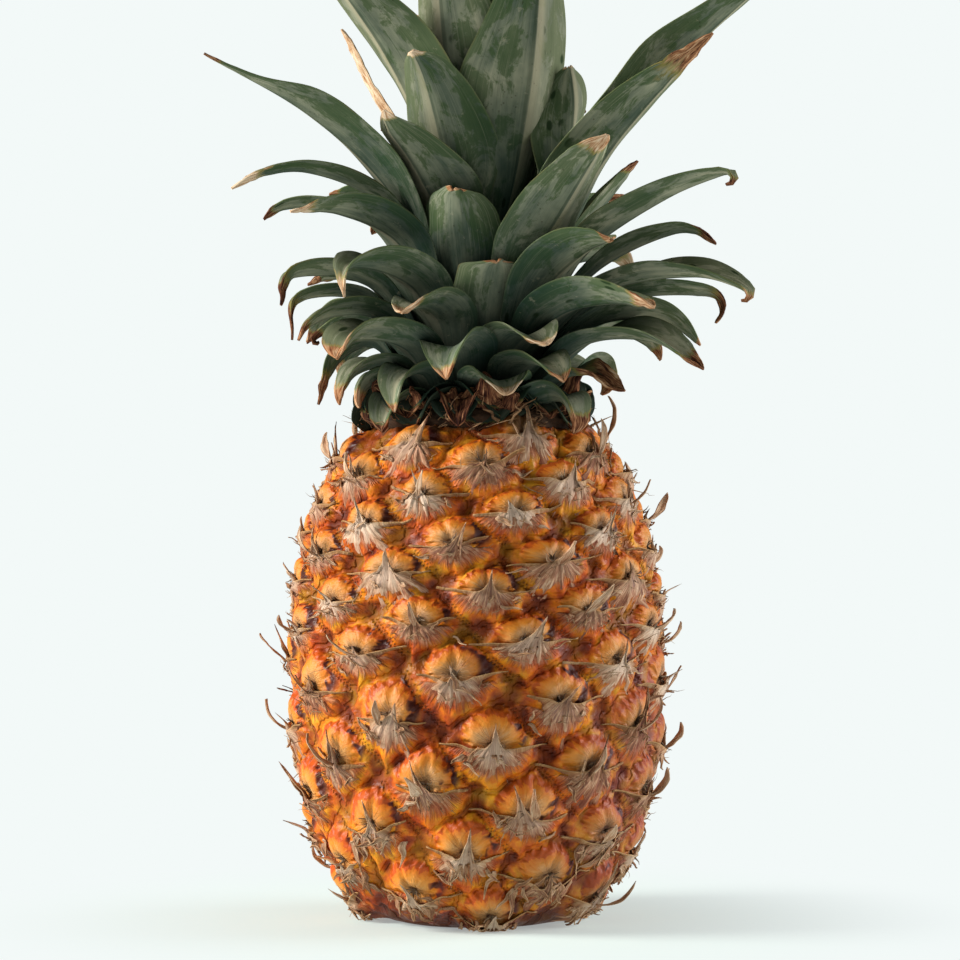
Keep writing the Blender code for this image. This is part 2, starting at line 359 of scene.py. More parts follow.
def new_group(name, inputs, outputs):
    """A shader group with float inputs and the outputs named as {name: socket type}."""
    group = bpy.data.node_groups.new(name, "ShaderNodeTree")
    for socket in inputs:
        group.interface.new_socket(socket, in_out="INPUT", socket_type="NodeSocketFloat")
    for socket, kind in outputs.items():
        group.interface.new_socket(socket, in_out="OUTPUT", socket_type=kind)
    net = Net(group)
    given = group.nodes.new("NodeGroupInput").outputs
    result = group.nodes.new("NodeGroupOutput").inputs
    return group, net, [Amount(net, given[socket]) for socket in inputs], result


# ---- shared effects ----


def make_dry_fibres():
    """Dried plant fibre: long streaks from whitish to brown with dark grooves between them.

    Across counts fibres, Along runs with them in millimetres, Tone is 0 for whitish and 1 for dark brown.
    """
    outputs = {"Colour": "NodeSocketColor", "Height": "NodeSocketFloat"}
    group, net, given, result = new_group("dry_fibres", ("Across", "Along", "Seed", "Tone"), outputs)
    streaks = net.streaks(given[:3], (1.0, 0.16, 9.0), 3.0, 0.62)
    hairs = net.streaks(given[:3], (3.4, 0.30, 5.0), 2.0, 0.5)
    patches = net.streaks(given[:3], (0.22, 0.25, 3.0), 2.0, 0.6)
    colour = net.ramp(
        streaks * 0.95 + hairs * 0.55 + patches * 0.40 - given[3] * 0.42 - 0.28,
        (0.16, 44, 26, 24),
        (0.32, 104, 66, 48),
        (0.46, 164, 118, 82),
        (0.60, 202, 168, 132),
        (0.80, 232, 212, 182),
    )
    net.feed(result["Colour"], colour)
    net.feed(result["Height"], streaks * 0.7 + hairs * 0.5)
    return group


def make_flecks():
    """Small dark specks, from Object coordinates."""
    group, net, (size, amount), result = new_group("flecks", ("Size", "Amount"), {"Specks": "NodeSocketFloat"})
    place = net.place()
    spots = net.cells(place, 1000.0 / size)
    where = net.noise(place, 260.0 / size, 2.0).step(0.62 - amount * 0.25, 0.72 - amount * 0.25)
    net.feed(result["Specks"], spots.fall(0.10, 0.30) * where)
    return group


DRY_FIBRES = make_dry_fibres()
FLECKS = make_flecks()


# ---- materials ----


def make_rind_material():
    """Waxy orange flesh: pale wrinkled middles, red rims, dark blotches, a fan of dry fibres under each eye,
    painted shade in its grooves, on its right side and at its bottom end, and painted light on its lower left.

    The attribute "eye" holds the millimetres across and up from the eye's middle and the eye's own number;
    "form" holds the seam between eyes, the height of the skin and the eye's blotchiness.
    """
    net = Finish("ripe_rind", 0.42, 0.28)
    u, v, seed = net.attribute("eye")
    seam, rise, blotchy = net.attribute("form")
    place = net.place()
    x, y, z = net.split(place)
    own = net.join(u * 0.001 + seed * 0.3, v * 0.001, seed)
    slow = net.noise(place, 38.0)
    olive = net.noise(place, 105.0)
    patches = net.noise(place, 210.0, 3.0, 0.55)
    lumps = net.noise(own, 190.0, 3.0, 0.55)
    fine = net.noise(own, 700.0, 3.0, 0.6)

    # flesh between and around the eyes, a little darker where the skin lies low, and painted shade in its grooves
    flesh = net.ramp(
        slow * 0.7 + patches * 0.9 - 0.34 + rise * 0.14,
        (0.26, 132, 40, 4),
        (0.40, 184, 76, 4),
        (0.54, 214, 112, 8),
        (0.72, 228, 156, 26),
    )
    flesh = net.tint(flesh, (olive.step(0.52, 0.66) * 0.55, 158, 112, 22))
    # painted shade: the grooves, where the skin lies low, take a dark brown
    groove = (rise + (patches - 0.5) * 0.36).fall(0.04, 0.46) * 0.75
    painted_groove_shade = net.ramp(olive, (0.36, 64, 22, 6), (0.50, 106, 44, 2), (0.64, 124, 80, 8))

    # the dome: cream in the middle, orange, then red at the rim
    hole_v = v + 0.6
    turn = net.math("ARCTAN2", u, hole_v)
    reach = net.math("SQRT", u * u * 0.0132 + hole_v * hole_v * 0.0150)
    rays = net.streaks((turn, reach, seed), (5.5, 0.9, 11.0), 3.0, 0.6)
    thin_rays = net.streaks((turn, reach, seed), (15.0, 1.2, 7.0), 2.0, 0.6)
    dome = net.ramp(
        reach + (rays - 0.5) * 0.8 + (slow - 0.5) * 0.5 + (lumps - 0.5) * 0.5,
        (0.16, 206, 156, 108),
        (0.42, 214, 152, 86),
        (0.66, 220, 138, 46),
        (0.96, 214, 114, 26),
        (1.40, 186, 82, 18),
    )
    cream = lumps.step(0.46, 0.64) * reach.step(1.0, 0.35) * 0.42
    lines = thin_rays.fall(0.32, 0.48) * reach.step(0.85, 0.25) * 0.55
    dome = net.tint(dome, (cream, 232, 188, 138), (lines, 140, 72, 30))
    edge = net.math("SQRT", u * u * 0.0121 + (v - 2.6) * (v - 2.6) * 0.0204)
    on_dome = (edge + (lumps - 0.5) * 0.22).fall(0.92, 1.06)
    hole = (reach + (fine - 0.5) * 0.10).fall(0.08, 0.18)

    # purple-black blotches, mostly low on the right of an eye
    leaning = u * 0.060 - v * 0.024
    spread = net.streaks((u, v, seed), (0.30, 0.30, 23.0), 1.5, 0.4, 0.4)
    spread = spread + leaning * 0.50 + reach * 0.24 + blotchy * 0.22
    rust = spread.step(0.92, 1.08) * on_dome
    blotch = spread.step(0.95, 1.08) * edge.step(0.52, 0.80) * edge.step(1.34, 1.05)

    # the fan of fibres under the eye's bract
    fan_v = 3.0 - v
    fan_turn = net.math("ARCTAN2", u, fan_v)
    fan_reach = net.math("SQRT", u * u * 1.35 + fan_v * fan_v)
    frayed = net.streaks((fan_turn, seed), (9.0, 17.0), 3.0, 0.7) - 0.5
    on_fan = (fan_reach + frayed * 11.0).fall(12.0, 15.5) * (v + 3.6 - u * u * 0.009).fall(-0.4, 0.3)
    fan, threads = net.group(DRY_FIBRES, fan_turn * 13.0, fan_reach, seed, 0.46)
    pinkish = (fan_reach + frayed * 6.0).step(8.0, 15.0) * 0.60
    fan = net.tint(fan, (0.25, 176, 112, 96), (pinkish, 176, 74, 30))

    colour = net.tint(
        flesh,
        (on_dome, dome),
        (rust * 0.24, 160, 62, 20),
        (blotch * 0.92, 50, 16, 22),
        (on_fan * 0.95, fan),
        (groove, painted_groove_shade),
        # painted shade along the seams between eyes, where the grooves meet
        (seam.step(0.10, 0.70), net.tint(flesh, (groove, painted_groove_shade))),
        (hole * 0.70, 84, 44, 20),
    )
    drift = (slow - 0.5) * 0.05
    # painted light: the lower left side, on the key lamp's side, is warmed and brightened
    painted_warm_light = (x + z * 0.7 + drift).step(0.035, -0.015) * 0.34
    ends = z + (patches - 0.5) * 0.012
    colour = net.tint(
        net.blend(painted_warm_light, colour, paint(255, 190, 40), "SOFT_LIGHT"),
        # painted shade: the right side, away from the key lamp, tinted dark purple-brown
        ((x - z * 0.5 + drift).step(-0.002, 0.034) * 0.40, 100, 44, 52),
        (ends.step(0.1535, 0.1570) * 0.85, 96, 64, 36),
        # the bottom end: the dark brown of hanging dry bracts, and painted shade where the fruit meets the floor
        (ends.step(0.0090, 0.0020) * 0.70, 74, 42, 30),
        (net.group(FLECKS, 1.1, 0.0)[0] * 0.30, 92, 36, 14),
    )
    beads = net.math("SINE", turn * 17.0 + seed * 40.0 + lumps * 4.0) * edge.step(0.70, 0.88) * on_dome
    wrinkles = thin_rays * reach.step(0.95, 0.2) * on_dome
    relief = lumps * 0.8 + fine * 0.25 + beads * 0.35 + wrinkles * 0.8 + on_fan * threads * 1.2
    relief = relief * seam.fall(0.0, 0.9) + patches * 0.6
    dryness = on_fan * 0.40 + hole * 0.30 + seam * 0.2
    return net.done(colour, relief, 0.85, 0.0012, Roughness=fine * 0.16 + 0.38 + dryness)


def make_bract_material():
    """Papery dried bract: fibres that fan out from its foot, a pale margin, brown folds.

    The attribute "sheet" holds the place across, the nearness to the foot and the eye's own number;
    "dryness" holds the tone, the margin and the millimetres along.
    """
    net = Finish("papery_bract", 0.82, 0.25)
    across, up, seed = net.attribute("sheet")
    tone, margin, along = net.attribute("dryness")
    fibres, grooves = net.group(DRY_FIBRES, across * 21.0, along, seed, tone)
    stain = net.noise(net.place(), 160.0, 3.0, 0.6)
    pale = (along + (grooves - 0.6) * 5.0).step(8.5, 1.0) * tone.step(0.62, 0.10)
    colour = net.tint(
        fibres,
        (0.16, 196, 128, 110),
        (pale * 0.62, 228, 208, 188),
        (across.size().step(0.50, 0.85) * 0.55, 150, 112, 60),
        (stain.step(0.50, 0.68) * 0.42, 132, 84, 50),
        (margin * 0.55, 200, 162, 108),
        ((up + (stain - 0.5) * 0.9).fall(0.0, 0.55) * 0.55, 142, 66, 36),
        (net.group(FLECKS, 0.9, 0.35)[0] * 0.6, 70, 44, 34),
    )
    threads = net.streaks((across, along, seed), (60.0, 0.10, 77.0), 2.0, 0.6)
    return net.done(colour, grooves, 0.8, 0.0006, Alpha=(up * 1.5 + threads).step(0.56, 0.64))


def make_husk_material(name, dark, light):
    """Shrivelled dry scraps: remnants of flowers, spikes and hairs."""
    net = Finish(name, 0.85, 0.2)
    mottle = net.noise(net.place(), 420.0, 3.0, 0.6)
    tint = net.noise(net.place(), 60.0, 1.0)
    colour = net.ramp(mottle * 0.8 + tint * 0.6 - 0.2, (0.25, *dark), (0.75, *light))
    colour = net.tint(colour, (net.group(FLECKS, 0.7, 0.4)[0] * 0.5, 40, 26, 20))
    return net.done(colour, mottle, 0.7, 0.0005)


def make_leaf_material():
    """Grey-green leaf with a whitish bloom, lengthwise veins, pale margins, darker mottles and dry ends, with
    painted light on the far half and keel of leaves seen edge-on and painted shade in their crease and towards the
    foot.

    The attribute "blade" holds the place across as -1 to 1, the millimetres along and the leaf's own number;
    "age" holds the dryness, the tone of the dry part and the share along, shifted for the painted shade; "lie" how
    far it lies edge-on, which sets the painted light.
    """
    net = Finish("bloomed_leaf", 0.5, 0.0)
    edge_on = net.attribute("lie")[0]
    blade = across, along, seed = net.attribute("blade")
    dryness, tone, share = net.attribute("age")
    side = across.size()
    veins = net.streaks(blade, (11.0, 0.012, 31.0), 4.0, 0.65)
    hairlines = net.streaks(blade, (42.0, 0.03, 13.0), 2.0, 0.5)
    bloom = net.streaks(blade, (1.3, 0.035, 17.0), 4.0, 0.62)
    mottle = net.streaks(blade, (2.4, 0.085, 41.0), 6.0, 0.68, 0.5)
    scratches = net.streaks(blade, (9.0, 0.55, 23.0), 3.0, 0.7, 1.2)
    scuffs = net.streaks(blade, (3.0, 0.22, 53.0), 5.0, 0.75)
    sparse = net.streaks(blade, (0.9, 0.03, 29.0), 1.0)
    spots = net.cells(net.stretched(blade, (2.6, 0.11, 19.0)), 1.0)

    # the green of the blade, painted light on its far half and keel and painted shade in its crease where it lies
    # edge-on, painted shade towards its foot, and its wear
    colour = net.ramp(
        bloom * 1.05 + veins * 0.26 - 0.14 + (seed - 0.5) * 0.12,
        (0.22, 58, 78, 66),
        (0.42, 102, 112, 94),
        (0.60, 140, 145, 121),
        (0.80, 180, 178, 150),
    )
    green = (mottle + side * 0.16 + (share - 0.5) * 0.10).step(0.56, 0.66)
    # where the painted highlight beside the keel lies, with a ragged edge
    lit_keel_band = across + (veins - 0.5) * 0.16 + (bloom - 0.5) * 0.30
    far_half = across.step(-0.02, 0.02)
    shade = (share + (bloom - 0.5) * 0.35).fall(0.10, 0.80)
    rim = (side + (veins - 0.5) * 0.04).step(0.955, 1.0) * (shade * -0.9 + 1.0)
    colour = net.tint(
        colour,
        (green * 0.70, 60, 84, 44),
        (hairlines.step(0.56, 0.72) * 0.22, 176, 174, 148),
        (hairlines.step(0.42, 0.30) * 0.22, 42, 56, 38),
        # painted light: the far half of a leaf seen edge-on, the half that faces a lamp, is paler
        (far_half * edge_on * 0.22, 160, 154, 130),
        # painted highlight: a pale band beside the keel on the far half of leaves seen edge-on
        (lit_keel_band.step(0.34, 0.02) * far_half * edge_on * 0.50, 186, 176, 146),
        # painted shade: a dark line in the crease beside the keel of leaves seen edge-on
        ((across + 0.035).size().fall(0.015, 0.05) * edge_on * 0.45, 44, 58, 40),
        # painted shade towards the foot, deep in the crown
        (shade * 0.74, 30, 58, 54),
        (spots.fall(0.14, 0.24) * sparse.step(0.60, 0.66) * 0.85, 34, 52, 30),
        (scratches.step(0.66, 0.72) * 0.40, 44, 62, 34),
        (scuffs.step(0.62, 0.70) * 0.28, 188, 180, 152),
        (rim * 0.35, net.ramp(mottle, (0.50, 120, 130, 84), (0.70, 138, 98, 58))),
    )

    # the dry end, its rusty edge, and painted shade at the foot
    dry_edge = side.step(0.80, 1.0) * 0.55 * mottle.step(0.45, 0.6) * share.step(0.45, 0.8)
    dry = (dryness + (mottle - 0.5) * 1.1 + (veins - 0.5) * 0.5 + dry_edge * 0.6).step(-0.18, 0.30)
    fibres, grooves = net.group(DRY_FIBRES, across * 7.0, along, seed, tone * 1.1 - 0.12)
    warm = (tone - 0.55).size().step(0.0, 0.20, 0.14, 0.0)
    colour = net.tint(
        colour,
        (dry, net.tint(fibres, (warm, 164, 92, 46))),
        (dry.step(0.05, 0.5) * dry.step(0.95, 0.45) * 0.55, 138, 136, 68),
        # painted shade: near-black at the foot, where the leaf is most shaded
        (share.step(0.30, 0.0) * 0.60, 24, 24, 18),
        (net.group(FLECKS, 1.4, 0.15)[0] * 0.5, 52, 48, 34),
    )
    relief = (veins * 0.7 + hairlines * 0.25 + dry * grooves * 0.8) * share.step(0.95, 0.60, 0.3, 1.0)
    return net.done(colour, relief, 0.40, 0.0006, Roughness=dry * 0.26 + veins * 0.12 + 0.48)


def make_stem_material():
    """The crown's stem: dull green-brown, ringed by the scars of old leaves."""
    net = Finish("ringed_stem", 0.7, 0.3)
    rings = net.streaks(net.split(net.place()), (30.0, 30.0, 420.0), 3.0, 0.6)
    colour = net.ramp(rings, (0.30, 28, 26, 18), (0.50, 58, 58, 38), (0.70, 92, 88, 60))
    return net.done(colour, rings, 0.8, 0.0012)


def make_floor_material():
    """A plain pale floor that turns into the backdrop's own white further out."""
    net = Finish("pale_floor", 0.85, 0.1)
    net.shader.inputs["Base Color"].default_value = (0.79, 0.95, 0.88, 1.0)
    x, y, z = net.split(net.place())
    far = net.math("SQRT", x * x + y * y).step(0.03, 0.175, 0.36, 1.0)
    net.mix_shaders(far, net.shader, net.add("Emission", {"Color": BACKDROP}), "Material Output")
    return net.material


# ---- pieces ----


def show(name, data):
    """A new object in the scene."""
    thing = bpy.data.objects.new(name, data)
    bpy.context.scene.collection.objects.link(thing)
    return thing


def taken(bm, name):
    """The mesh of a finished bmesh."""
    mesh = bpy.data.meshes.new(name)
    bm.to_mesh(mesh)
    bm.free()
    return mesh


def finish_mesh(name, mesh, material, replaced=None):
    """An object for a finished mesh, which rides on the root and hides the part that it replaces, if any."""
    mesh.shade_smooth()
    mesh.materials.append(material)
    piece = show(name, mesh)
    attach(piece, "root")
    if replaced:
        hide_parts(replaced)
    return piece


def thicken(piece, thickness, offset):
    wall = piece.modifiers.new("thickness", "SOLIDIFY")
    wall.thickness = thickness
    wall.offset = offset
    return wall


def store(mesh, name, *parts):
    """Keep three numbers a vertex as an attribute."""
    layer = mesh.attributes.new(name, "FLOAT_VECTOR", "POINT")
    layer.data.foreach_set("vector", np.stack(parts, axis=-1).astype(np.float32).ravel())


# ---- the fruit's own surface ----


def fruit_radius(z):
    share = np.abs(z - FRUIT_MIDDLE) / FRUIT_CURVE_HEIGHT
    return FRUIT_RADIUS * np.sqrt(1.0 - share**FRUIT_CURVE_POWER)


def fruit_profile():
    """Heights, radii and lengths along the fruit's side, from its base edge up to its top edge."""
    z = FRUIT_MIDDLE + (FRUIT_MIDDLE - END_ROUNDING) * np.cos(np.linspace(math.pi, 0.0, 600))
    radius = np.concatenate(([BASE_RADIUS], fruit_radius(z), [TOP_RADIUS]))
    z = np.concatenate(([0.0], z, [FRUIT_HEIGHT]))
    length = np.concatenate(([0.0], np.cumsum(np.hypot(np.diff(z), np.diff(radius)))))
    return z, radius, length


SIDE_Z, SIDE_RADIUS, SIDE_LENGTH = fruit_profile()
SIDE_TOTAL = SIDE_LENGTH[-1]


def side_at(length):
    """Radius and height at lengths along the fruit's side."""
    return np.interp(length, SIDE_LENGTH, SIDE_RADIUS), np.interp(length, SIDE_LENGTH, SIDE_Z)


def skin_points(turn, length, height):
    """Points on the fruit: at a turn about the axis, a length up the side and a height off the surface."""
    length = np.clip(length, 0.0, SIDE_TOTAL)
    run, climb = np.subtract(side_at(length + SIDE_REACH), side_at(length - SIDE_REACH))
    size = np.hypot(run, climb)
    radius, z = side_at(length)
    radius = radius + height * climb / size
    return np.stack((radius * np.cos(turn), radius * np.sin(turn), z - height * run / size), axis=-1)


class Eye:
    """One eye of the fruit: where it is, how its cell is stretched, and its own traits."""

    def __init__(self, index, turn, z, rise):
        self.chance = chance = random.Random(f"eye {index}")
        between = chance.uniform
        self.index, self.turn = index, turn
        self.radius = float(np.interp(z, SIDE_Z, SIDE_RADIUS))
        below, self.length, above = np.interp((z - 0.002, z, z + 0.002), SIDE_Z, SIDE_LENGTH).tolist()
        self.wide = mix(0.80, 1.0, smooth(0.030, 0.056, self.radius)) * between(0.95, 1.05)
        tall = rise / EYE_LOW_RISE * min((above - below) / 0.004, 1.35) * between(0.95, 1.05)
        self.tall = min(max(tall, 0.72), 1.05)
        self.seed = chance.random()
        self.tilt = math.radians(between(-9.0, 9.0))
        ranges = ((-22.0, 30.0, 0.5, 1.1), (95.0, 125.0, 0.3, 1.0), (-130.0, -95.0, 0.3, 1.0))
        self.creases = [(math.radians(between(a, b)), between(c, d)) for a, b, c, d in ranges]
        self.blotchy = between(0.0, 1.0)
        self.tip_length = chance.choice((4.0, 6.0, 8.0, 9.5, 11.0, 13.0)) * between(0.85, 1.15)
        self.tip_lean = between(-0.45, 0.6)
        self.tip_lift = chance.choice((0.3, 0.8, 2.0, 3.0, 4.5, 6.0))
        self.cover = between(0.92, 1.22) * (1.0 + 0.16 * math.cos(turn))

    def form(self, u, v):
        """The height of the eye's form, in millimetres, at places across and up from its middle."""
        cosine, sine = math.cos(self.tilt), math.sin(self.tilt)
        u, v = u * cosine + v * sine, v * cosine - u * sine
        phase = self.seed * 40.0
        hole_v = v + 0.6
        away = np.hypot(u, hole_v)
        turn = np.arctan2(u, hole_v)
        reach = np.hypot(u / 9.0, (v - 2.6) / 7.0)
        scallop = 1.0 + 0.025 * np.sin(turn * 13.0 + phase) + 0.04 * np.sin(turn * 3.0 + phase)
        dome = 4.3 * np.clip(1.0 - (reach / scallop) ** 2.4, 0.0, 1.0) ** 0.5 - 0.1
        for angle, depth in self.creases:
            gap = np.arctan2(np.sin(turn - angle), np.cos(turn - angle))
            valley = np.exp(-((gap * away / 0.9) ** 2)) * (np.abs(gap) < 1.5)
            dome = dome - depth * valley * soft_step(0.4, 2.5, away)
        dome = dome - 1.1 * np.exp(-((away / 3.2) ** 2)) - 1.2 * np.exp(-((away / 1.2) ** 2))
        dome = dome + 0.10 * np.sin(turn * 23.0 + phase) * np.exp(-(((away - 4.0) / 2.4) ** 2))
        dome = np.where(reach < scallop, dome, -9.0)

        below = -3.6 + 0.009 * u * u - v
        half = np.clip(9.6 - 0.62 * below, 1.5, 13.0)
        fan_turn = np.arctan2(u, 3.0 - v)
        shelf = 4.2 - 0.26 * np.clip(below, 0.0, 20.0) - 1.7 * np.abs(u / half) ** 2.5
        shelf = np.maximum(shelf, 3.0 - 0.011 * u * u - 1.2 * np.abs(below) ** 1.5)
        shelf = shelf + 0.16 * np.sin(fan_turn * 27.0 + phase) + 0.10 * np.sin(fan_turn * 43.0 + phase)
        shelf = shelf - 3.2 * np.clip(-below, 0.0, 9.0)

        flesh = 2.4 - 2.5 * np.hypot(u / 14.2, (v + 1.6) / 13.2) ** 2.4
        flesh = flesh + 1.5 * np.exp(-(((np.abs(u) - 9.0 - 0.2 * v) / 3.0) ** 2) - ((v + 7.0) / 3.6) ** 2)
        blend = 0.22
        high = blend * np.logaddexp(dome / blend, shelf / blend)
        return blend * np.logaddexp(high / blend, flesh / blend)

    def spot(self, u, v):
        """The turn and the length up the side of places across and up from the eye's middle."""
        return self.turn + u * MM * self.wide / self.radius, self.length + v * MM * self.tall


def make_eyes():
    eyes = []
    turn, z = EYE_FIRST_TURN, EYE_FIRST_Z
    for index in range(EYE_COUNT):
        rise = mix(EYE_LOW_RISE, EYE_HIGH_RISE, smooth(0.47, 0.60, z / FRUIT_HEIGHT))
        eyes.append(Eye(index, turn, z, rise))
        turn += EYE_TURN
        z += rise
    return eyes


EYES = make_eyes()


def ripple(points, size, seed=0.0):
    """Smooth noise of about -1 to 1 at points, with features of a size in metres."""
    shift = Vector((seed, seed, seed))
    return np.array([noise.noise(Vector(point) / size + shift) for point in points])


def end_fade(length):
    """How far the eyes stand out along the side: less where the base and the crown's foot begin."""
    return soft_step(-0.002, 0.009, length) * soft_step(-0.002, 0.009, SIDE_TOTAL - length)


SKIN_HEIGHT = np.zeros((RIND_RINGS, RIND_STEPS))


def skin_height(turn, length):
    """The skin's height off the fruit's plain side at turns and lengths, in metres, from its own rows."""
    ring = np.clip(length / SIDE_TOTAL * (RIND_RINGS - 1), 0.0, RIND_RINGS - 1.001)
    step = (turn / (2.0 * math.pi) * RIND_STEPS) % RIND_STEPS
    low, left = ring.astype(int), step.astype(int) % RIND_STEPS
    right = (left + 1) % RIND_STEPS
    up, over = ring - low, step - np.floor(step)
    lower = mix(SKIN_HEIGHT[low, left], SKIN_HEIGHT[low, right], over)
    upper = mix(SKIN_HEIGHT[low + 1, left], SKIN_HEIGHT[low + 1, right], over)
    return mix(lower, upper, up)


def turned_skin():
    """The plain skin: a profile from the middle of the base to the middle of the top, turned about the axis."""
    profile = [(BASE_RADIUS * share, 0.0, 0.0) for share in (0.0, 0.2, 0.45, 0.7, 0.88)]
    radii, heights = side_at(np.linspace(0.0, SIDE_TOTAL, RIND_RINGS))
    profile += [(radius, 0.0, z) for radius, z in zip(radii, heights)]
    profile += [(TOP_RADIUS * share, 0.0, FRUIT_HEIGHT) for share in (0.7, 0.35, 0.0)]
    bm = bmesh.new()
    line = [bm.verts.new(point) for point in profile]
    for ends in zip(line, line[1:]):
        bm.edges.new(ends)
    whole = {"cent": (0.0, 0.0, 0.0), "axis": (0.0, 0.0, 1.0), "angle": 2.0 * math.pi, "use_merge": True}
    bmesh.ops.spin(bm, geom=bm.verts[:] + bm.edges[:], steps=RIND_STEPS, **whole)
    bmesh.ops.remove_doubles(bm, verts=bm.verts[:], dist=0.00001)
    bmesh.ops.recalc_face_normals(bm, faces=bm.faces[:])
    return taken(bm, "rind_skin")


def make_rind():
    """The fruit's skin, with every eye, shelf and groove pushed out of it."""
    mesh = turned_skin()
    count = len(mesh.vertices)
    co = np.zeros(count * 3)
    mesh.vertices.foreach_get("co", co)
    co = co.reshape(-1, 3)
    turn = np.arctan2(co[:, 1], co[:, 0])
    radius = np.hypot(co[:, 0], co[:, 1])
    flat_low = (co[:, 2] < 1e-6) & (radius < BASE_RADIUS - 1e-5)
    flat_high = (co[:, 2] > FRUIT_HEIGHT - 1e-6) & (radius < TOP_RADIUS - 1e-5)
    keep = flat_low | flat_high
    length = np.interp(co[:, 2], SIDE_Z, SIDE_LENGTH)

    best = np.full(count, -9.0)
    owner = np.zeros(count, int)
    place = np.zeros((3, count))
    shift_u = 1.3 * ripple(co, 0.0085, 2.0) + 0.5 * ripple(co, 0.0035, 8.0)
    shift_v = 1.3 * ripple(co, 0.0085, 4.0) + 0.5 * ripple(co, 0.0035, 6.0)
    for number, eye in enumerate(EYES):
        swing = np.arctan2(np.sin(turn - eye.turn), np.cos(turn - eye.turn))
        u = swing * eye.radius / MM / eye.wide + shift_u
        v = (length - eye.length) / MM / eye.tall + shift_v
        near = np.nonzero((np.abs(u) < EYE_REACH) & (np.abs(v) < EYE_REACH))[0]
        height = eye.form(u[near], v[near])
        won = height > best[near]
        spots = near[won]
        best[spots], owner[spots] = height[won], number
        place[:, spots] = np.broadcast_arrays(u[spots], v[spots], eye.seed)
    best = np.clip(best, -0.8, 9.0)
    folds = 0.9 - 2.6 * np.abs(ripple(co, 0.0062, 12.0))
    relief = best + folds * soft_step(3.0, 1.8, best) * 0.9
    relief = relief + 0.34 * ripple(co, 0.0042) + 0.16 * ripple(co, 0.0016, 5.0)

    fade = end_fade(length)
    height = (relief - RIND_SINK) * MM * fade - 0.0006 * (1.0 - fade)
    ring = np.rint(length / SIDE_TOTAL * (RIND_RINGS - 1)).astype(int)
    step = np.rint(turn / (2.0 * math.pi) * RIND_STEPS).astype(int) % RIND_STEPS
    SKIN_HEIGHT[ring, step] = height
    co[~keep] = skin_points(turn, length, height)[~keep]
    co[:, 2] = np.maximum(co[:, 2], 0.0)
    mesh.vertices.foreach_set("co", co.ravel())

    pairs = np.zeros(len(mesh.edges) * 2, int)
    mesh.edges.foreach_get("vertices", pairs)
    pairs = pairs.reshape(-1, 2)
    seam = np.zeros(count)
    seam[pairs[owner[pairs[:, 0]] != owner[pairs[:, 1]]].ravel()] = 1.0
    seam[keep] = 0.0
    store(mesh, "eye", *place)
    store(mesh, "form", seam, relief / 4.0, np.array([eye.blotchy for eye in EYES])[owner])
    finish_mesh("rind_skin", mesh, make_rind_material(), "fruit_body")


# ---- dried bracts and scraps on the fruit ----


def new_sheet(bm, columns, rows):
    """The vertices of a new grid, their places across, -1 to 1, and their shares of the way out."""
    made = bmesh.ops.create_grid(bm, x_segments=columns, y_segments=rows, size=1.0)["verts"]
    across, out = np.array([vert.co[:2] for vert in made]).T
    return made, across, (out + 1.0) / 2.0


def lay_sheet(bm, made, eye, u, v, lift, *looks):
    """Lay a grid on the skin at places across and up from an eye's middle, lifted by millimetres.

    Its looks are its place across, its nearness to the foot, its tone, margin and millimetres along.
    """
    turn, length = eye.spot(u, v)
    skin = skin_height(turn, length) / MM
    shelf = skin_height(*eye.spot(u * 0.9, np.minimum(v, EYE_SHELF_EDGE))) / MM
    height = np.where(v > EYE_SHELF_EDGE, np.maximum(skin, mix(skin, shelf, 0.7)), skin) + lift
    points = skin_points(turn, length, height * MM)
    points[:, 2] = np.maximum(points[:, 2], LOWEST)
    sheet_layer, dry_layer = (bm.verts.layers.float_vector[name] for name in ("sheet", "dryness"))
    for vert, where, across, up, *dryness in zip(made, points, *np.broadcast_arrays(*looks, u)[:-1]):
        vert.co = where
        vert[sheet_layer] = (across, up, eye.seed)
        vert[dry_layer] = dryness


